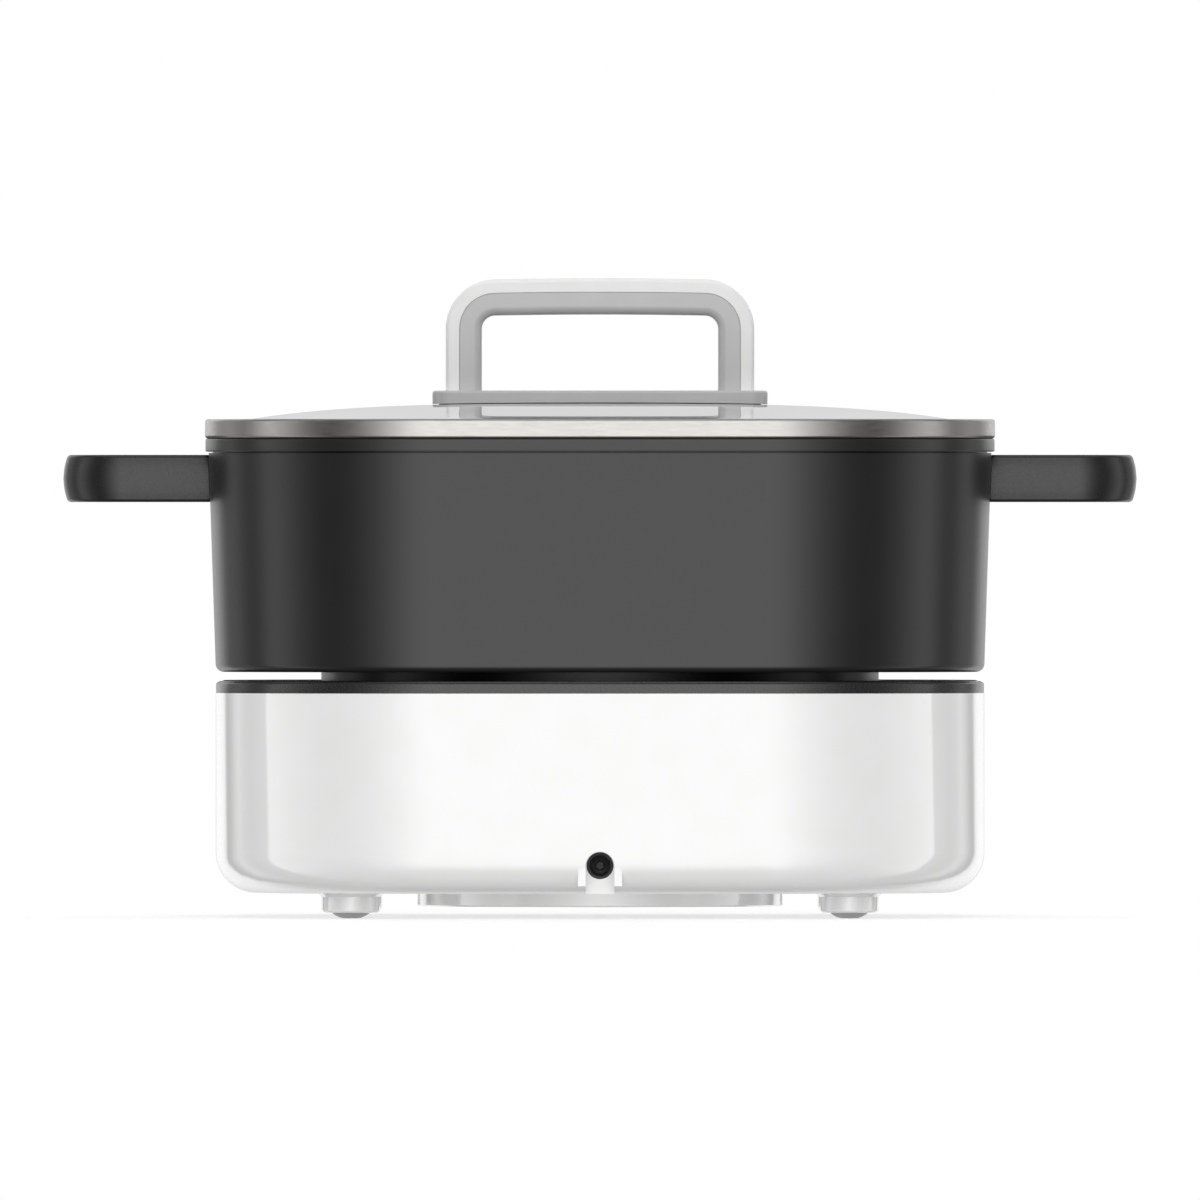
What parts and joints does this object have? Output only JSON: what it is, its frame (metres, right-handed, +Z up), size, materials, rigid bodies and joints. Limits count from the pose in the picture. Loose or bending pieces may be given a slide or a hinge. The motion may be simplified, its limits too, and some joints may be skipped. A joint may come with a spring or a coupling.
{
  "type": "electric hot pot",
  "caption": "Square electric hot pot: a cast pot with side handles and a domed glass lid, lifted off a heated base with a rotary control.",
  "frame": {"origin": "on the table, under the middle of the base, level with the undersides of the rubber foot pads", "axes": "+Z up, X through the two side handles, the control knob faces +Y and the cord way is in the -Y side"},
  "size_m": [0.3864, 0.2875, 0.23],
  "materials": {
    "white_housing": "satin",
    "white_gloss": "gloss",
    "pale_grip": "satin",
    "dark_handle": "satin",
    "grey_plastic": "satin",
    "pot_coating": "dark coated casting",
    "deck_plastic": "satin",
    "rim_steel": "polished",
    "chrome_trim": "polished",
    "lid_glass": "clear",
    "silicone": "translucent",
    "grey_rubber": "matte",
    "black_rubber": "matte",
    "cast_aluminium": "machined",
    "galvanised_steel": "matte zinc",
    "element_steel": "oxidised",
    "spring_steel": "drawn",
    "steel_screws": "zinc plated",
    "brass_screws": "plain",
    "bakelite": "matte",
    "terminal_nylon": "matte",
    "amber_lens": "clear tinted",
    "lamp_glass": "clear",
    "brown_insulation": "satin",
    "black_insulation": "satin",
    "blue_insulation": "satin",
    "earth_insulation": "satin"
  },
  "bodies": {
    "base": {"base_housing": "white_housing", "cord_gland": "black_rubber", "foot_pads": "grey_rubber", "bottom_cover": "white_housing", "bottom_cover_screws": "steel_screws", "base_screws": "steel_screws", "top_deck": "deck_plastic", "heat_shield": "galvanised_steel", "shield_screws": "steel_screws", "heating_plate": "cast_aluminium", "heating_element": "element_steel", "element_terminals": "element_steel", "heater_screws": "steel_screws", "limit_thermostat": "bakelite", "limiter_screws": "steel_screws", "thermal_fuse": "element_steel", "fuse_clip": "galvanised_steel", "sensor_guide": "galvanised_steel", "control_switch": "bakelite", "switch_nut": "steel_screws", "dial_ring": "chrome_trim", "indicator_lens": "amber_lens", "indicator_lamp": "lamp_glass", "terminal_block": "terminal_nylon", "terminal_screws": "brass_screws", "earth_tag": "brass_screws", "earth_screw": "steel_screws", "live_lead": "brown_insulation", "switched_lead": "black_insulation", "neutral_lead": "blue_insulation", "earth_lead": "earth_insulation"},
    "pot": {"pot_vessel": "pot_coating", "pot_handle_right": "dark_handle", "pot_handle_left": "dark_handle", "pot_handle_screws": "steel_screws"},
    "lid": {"lid_glass": "lid_glass", "lid_rim": "rim_steel", "lid_seal_ring": "silicone", "lid_handle_core": "pale_grip", "lid_handle_cover": "white_gloss", "lid_handle_gasket": "silicone", "lid_handle_inserts": "brass_screws", "lid_screw_seals": "silicone", "lid_screw_washers": "rim_steel", "lid_handle_screws": "rim_steel", "steam_eyelet": "rim_steel"},
    "knob": {"control_knob": "grey_plastic", "knob_shaft": "steel_screws", "knob_pointer": "white_gloss"},
    "probe": {"sensor_cup": "cast_aluminium", "sensor_capsule": "bakelite", "sensor_spring": "spring_steel"}
  },
  "joints": [
    {"name": "pot_lift", "type": "slide", "parent": "base", "child": "pot", "axis": [0, 0, 1], "range_m": [0, 0.04]},
    {"name": "lid_lift", "type": "slide", "parent": "pot", "child": "lid", "axis": [0, 0, 1], "range_m": [0, 0.055]},
    {"name": "knob_turn", "type": "hinge", "parent": "base", "child": "knob", "pos_m": [0, 0.1382, 0.05], "axis": [0, -1, 0], "range_deg": [0, 270]},
    {"name": "sensor_rise", "type": "slide", "parent": "base", "child": "probe", "axis": [0, 0, 1], "range_m": [0, 0.0025], "deforming": ["sensor_spring"]}
  ],
  "couplings": [
    {"joint": "sensor_rise", "follows": "pot_lift", "ratio": 0.0625}
  ]
}
